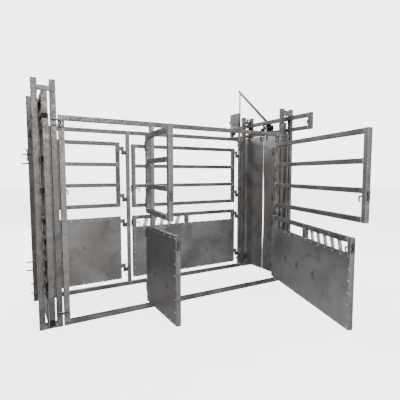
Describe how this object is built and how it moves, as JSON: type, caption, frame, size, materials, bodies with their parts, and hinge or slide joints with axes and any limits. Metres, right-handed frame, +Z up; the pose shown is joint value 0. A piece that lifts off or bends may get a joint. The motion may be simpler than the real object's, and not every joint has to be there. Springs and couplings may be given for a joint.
{
  "type": "cattle squeeze chute",
  "caption": "Steel livestock crush with side frames, swing gates in upper and lower leaves, a sliding head bail and rail-hung sliding rear doors worked by a lever.",
  "frame": {"origin": "on the floor under the centre of the near head-end post, in the near side frame's centre plane", "axes": "+X runs from the head end to the rear, +Y from the near side to the far side, +Z up"},
  "size_m": [3.1385, 2.8905, 2.725],
  "materials": {
    "galvanised_tube": "mottled bare galvanised square tube with weld spatter",
    "sheet_steel": "smooth dull galvanised sheet with cloudy patches",
    "bright_hardware": "bright zinc plated",
    "dark_steel": "dull dark steel",
    "black_nylon": "matt black nylon"
  },
  "bodies": {
    "chute": {"near_side_frame": "galvanised_tube", "far_side_frame": "galvanised_tube", "near_head_posts": "galvanised_tube", "far_head_posts": "galvanised_tube", "near_rear_posts": "galvanised_tube", "far_rear_posts": "galvanised_tube", "head_track": "galvanised_tube", "rear_track": "galvanised_tube", "head_cross_beam": "galvanised_tube", "track_hangers": "bright_hardware", "link_lugs": "galvanised_tube", "link_pins": "bright_hardware", "near_hinge_lugs": "dark_steel", "far_hinge_lugs": "dark_steel", "panel_pins": "bright_hardware", "leaf_ratchet": "dark_steel", "latch_box": "galvanised_tube", "lever_bracket": "galvanised_tube", "door_guides": "black_nylon", "door_cable": "bright_hardware"},
    "near_front_upper_gate": {"near_front_upper_gate": "galvanised_tube"},
    "near_front_upper_bolt": {"near_front_upper_bolt": "dark_steel"},
    "near_front_lower_gate": {"near_front_lower_gate": "galvanised_tube", "near_front_lower_sheet": "sheet_steel"},
    "near_front_lower_bolt": {"near_front_lower_bolt": "dark_steel"},
    "near_rear_upper_gate": {"near_rear_upper_gate": "galvanised_tube"},
    "near_rear_upper_bolt": {"near_rear_upper_bolt": "dark_steel"},
    "near_rear_lower_gate": {"near_rear_lower_gate": "galvanised_tube", "near_rear_lower_sheet": "sheet_steel"},
    "near_rear_lower_bolt": {"near_rear_lower_bolt": "dark_steel"},
    "far_front_upper_gate": {"far_front_upper_gate": "galvanised_tube"},
    "far_front_upper_bolt": {"far_front_upper_bolt": "dark_steel"},
    "far_front_lower_gate": {"far_front_lower_gate": "galvanised_tube", "far_front_lower_sheet": "sheet_steel"},
    "far_front_lower_bolt": {"far_front_lower_bolt": "dark_steel"},
    "far_rear_upper_gate": {"far_rear_upper_gate": "galvanised_tube"},
    "far_rear_upper_bolt": {"far_rear_upper_bolt": "dark_steel"},
    "far_rear_lower_gate": {"far_rear_lower_gate": "galvanised_tube", "far_rear_lower_sheet": "sheet_steel"},
    "far_rear_lower_bolt": {"far_rear_lower_bolt": "dark_steel"},
    "near_leaf": {"near_leaf": "galvanised_tube", "near_leaf_blocks": "black_nylon"},
    "far_leaf": {"far_leaf": "galvanised_tube", "far_leaf_blocks": "black_nylon"},
    "near_door": {"near_door_frame": "galvanised_tube", "near_door_sheet": "sheet_steel", "near_door_hangers": "galvanised_tube"},
    "far_door": {"far_door_frame": "galvanised_tube", "far_door_sheet": "sheet_steel", "far_door_hangers": "galvanised_tube"},
    "near_inner_wheel": {"near_inner_wheel": "black_nylon"},
    "near_outer_wheel": {"near_outer_wheel": "black_nylon"},
    "near_pulley": {"near_pulley": "dark_steel"},
    "far_inner_wheel": {"far_inner_wheel": "black_nylon"},
    "far_outer_wheel": {"far_outer_wheel": "black_nylon"},
    "far_pulley": {"far_pulley": "dark_steel"},
    "door_lever": {"door_lever": "bright_hardware"},
    "push_rod": {"push_rod": "dark_steel"},
    "lock_pin": {"lock_pin": "black_nylon"}
  },
  "joints": [
    {"name": "near_front_upper_swing", "type": "hinge", "parent": "chute", "child": "near_front_upper_gate", "pos_m": [0.806, 0, 0], "axis": [0, 0, 1], "range_deg": [-85, 15]},
    {"name": "near_front_upper_bolt_slide", "type": "slide", "parent": "near_front_upper_gate", "child": "near_front_upper_bolt", "axis": [-0.0872, -0.9962, 0], "range_m": [-0.018, 0.03]},
    {"name": "near_front_lower_swing", "type": "hinge", "parent": "chute", "child": "near_front_lower_gate", "pos_m": [0.806, 0, 0], "axis": [0, 0, 1], "range_deg": [-90, 10]},
    {"name": "near_front_lower_bolt_slide", "type": "slide", "parent": "near_front_lower_gate", "child": "near_front_lower_bolt", "axis": [0, -1, 0], "range_m": [-0.018, 0.03]},
    {"name": "near_rear_upper_swing", "type": "hinge", "parent": "chute", "child": "near_rear_upper_gate", "pos_m": [2.5325, 0, 0], "axis": [0, 0, 1], "range_deg": [-76.5, 23.5]},
    {"name": "near_rear_upper_bolt_slide", "type": "slide", "parent": "near_rear_upper_gate", "child": "near_rear_upper_bolt", "axis": [-0.2334, -0.9724, 0], "range_m": [-0.018, 0.03]},
    {"name": "near_rear_lower_swing", "type": "hinge", "parent": "chute", "child": "near_rear_lower_gate", "pos_m": [2.5325, 0, 0], "axis": [0, 0, 1], "range_deg": [-72, 28]},
    {"name": "near_rear_lower_bolt_slide", "type": "slide", "parent": "near_rear_lower_gate", "child": "near_rear_lower_bolt", "axis": [-0.309, -0.9511, 0], "range_m": [-0.018, 0.03]},
    {"name": "far_front_upper_swing", "type": "hinge", "parent": "chute", "child": "far_front_upper_gate", "pos_m": [0.806, 0.813, 0], "axis": [0, 0, 1], "range_deg": [-100, 0]},
    {"name": "far_front_upper_bolt_slide", "type": "slide", "parent": "far_front_upper_gate", "child": "far_front_upper_bolt", "axis": [-1, 0, 0], "range_m": [-0.018, 0.03]},
    {"name": "far_front_lower_swing", "type": "hinge", "parent": "chute", "child": "far_front_lower_gate", "pos_m": [0.806, 0.813, 0], "axis": [0, 0, 1], "range_deg": [-100, 0]},
    {"name": "far_front_lower_bolt_slide", "type": "slide", "parent": "far_front_lower_gate", "child": "far_front_lower_bolt", "axis": [-1, 0, 0], "range_m": [-0.018, 0.03]},
    {"name": "far_rear_upper_swing", "type": "hinge", "parent": "chute", "child": "far_rear_upper_gate", "pos_m": [2.5325, 0.813, 0], "axis": [0, 0, 1], "range_deg": [-100, 0]},
    {"name": "far_rear_upper_bolt_slide", "type": "slide", "parent": "far_rear_upper_gate", "child": "far_rear_upper_bolt", "axis": [-1, 0, 0], "range_m": [-0.018, 0.03]},
    {"name": "far_rear_lower_swing", "type": "hinge", "parent": "chute", "child": "far_rear_lower_gate", "pos_m": [2.5325, 0.813, 0], "axis": [0, 0, 1], "range_deg": [-100, 0]},
    {"name": "far_rear_lower_bolt_slide", "type": "slide", "parent": "far_rear_lower_gate", "child": "far_rear_lower_bolt", "axis": [-1, 0, 0], "range_m": [-0.018, 0.03]},
    {"name": "near_leaf_slide", "type": "slide", "parent": "chute", "child": "near_leaf", "axis": [0, 1, 0], "range_m": [-0.225, 0.04]},
    {"name": "far_leaf_slide", "type": "slide", "parent": "chute", "child": "far_leaf", "axis": [0, 1, 0], "range_m": [-0.04, 0.225]},
    {"name": "far_door_slide", "type": "slide", "parent": "chute", "child": "far_door", "axis": [0, 1, 0], "range_m": [0, 0.38]},
    {"name": "near_door_slide", "type": "slide", "parent": "chute", "child": "near_door", "axis": [0, 1, 0], "range_m": [-0.38, 0]},
    {"name": "near_inner_wheel_spin", "type": "hinge", "parent": "near_door", "child": "near_inner_wheel", "pos_m": [2.739, 0.345, 2.0543], "axis": [1, 0, 0], "continuous": true},
    {"name": "near_outer_wheel_spin", "type": "hinge", "parent": "near_door", "child": "near_outer_wheel", "pos_m": [2.739, 0.07, 2.0543], "axis": [1, 0, 0], "continuous": true},
    {"name": "near_pulley_spin", "type": "hinge", "parent": "chute", "child": "near_pulley", "pos_m": [2.755, -0.356, 2.0543], "axis": [1, 0, 0], "continuous": true},
    {"name": "far_inner_wheel_spin", "type": "hinge", "parent": "far_door", "child": "far_inner_wheel", "pos_m": [2.739, 0.468, 2.0343], "axis": [1, 0, 0], "continuous": true},
    {"name": "far_outer_wheel_spin", "type": "hinge", "parent": "far_door", "child": "far_outer_wheel", "pos_m": [2.739, 0.743, 2.0543], "axis": [1, 0, 0], "continuous": true},
    {"name": "far_pulley_spin", "type": "hinge", "parent": "chute", "child": "far_pulley", "pos_m": [2.755, 1.169, 2.0543], "axis": [1, 0, 0], "continuous": true},
    {"name": "door_lever_swing", "type": "hinge", "parent": "chute", "child": "door_lever", "pos_m": [2.7935, 1.087, 1.982], "axis": [1, 0, 0], "range_deg": [0, 26.8]},
    {"name": "push_rod_pivot", "type": "hinge", "parent": "door_lever", "child": "push_rod", "pos_m": [2.774, 1.087, 2.705], "axis": [1, 0, 0], "range_deg": [-32.1, 0]},
    {"name": "lock_pin_slide", "type": "slide", "parent": "chute", "child": "lock_pin", "axis": [0, 1, 0], "range_m": [0, 0.05]}
  ],
  "couplings": [
    {"joint": "far_leaf_slide", "follows": "near_leaf_slide", "ratio": -1},
    {"joint": "near_door_slide", "follows": "far_door_slide", "ratio": -1},
    {"joint": "near_inner_wheel_spin", "follows": "far_door_slide", "rad_per_m": 20.619},
    {"joint": "near_outer_wheel_spin", "follows": "far_door_slide", "rad_per_m": 20.619},
    {"joint": "near_pulley_spin", "follows": "far_door_slide", "rad_per_m": 45.455},
    {"joint": "far_inner_wheel_spin", "follows": "far_door_slide", "rad_per_m": -35.088},
    {"joint": "far_outer_wheel_spin", "follows": "far_door_slide", "rad_per_m": -20.619},
    {"joint": "far_pulley_spin", "follows": "far_door_slide", "rad_per_m": 45.455},
    {"joint": "door_lever_swing", "follows": "far_door_slide", "rad_per_m": 1.2169},
    {"joint": "push_rod_pivot", "follows": "far_door_slide", "rad_per_m": -1.4618}
  ]
}
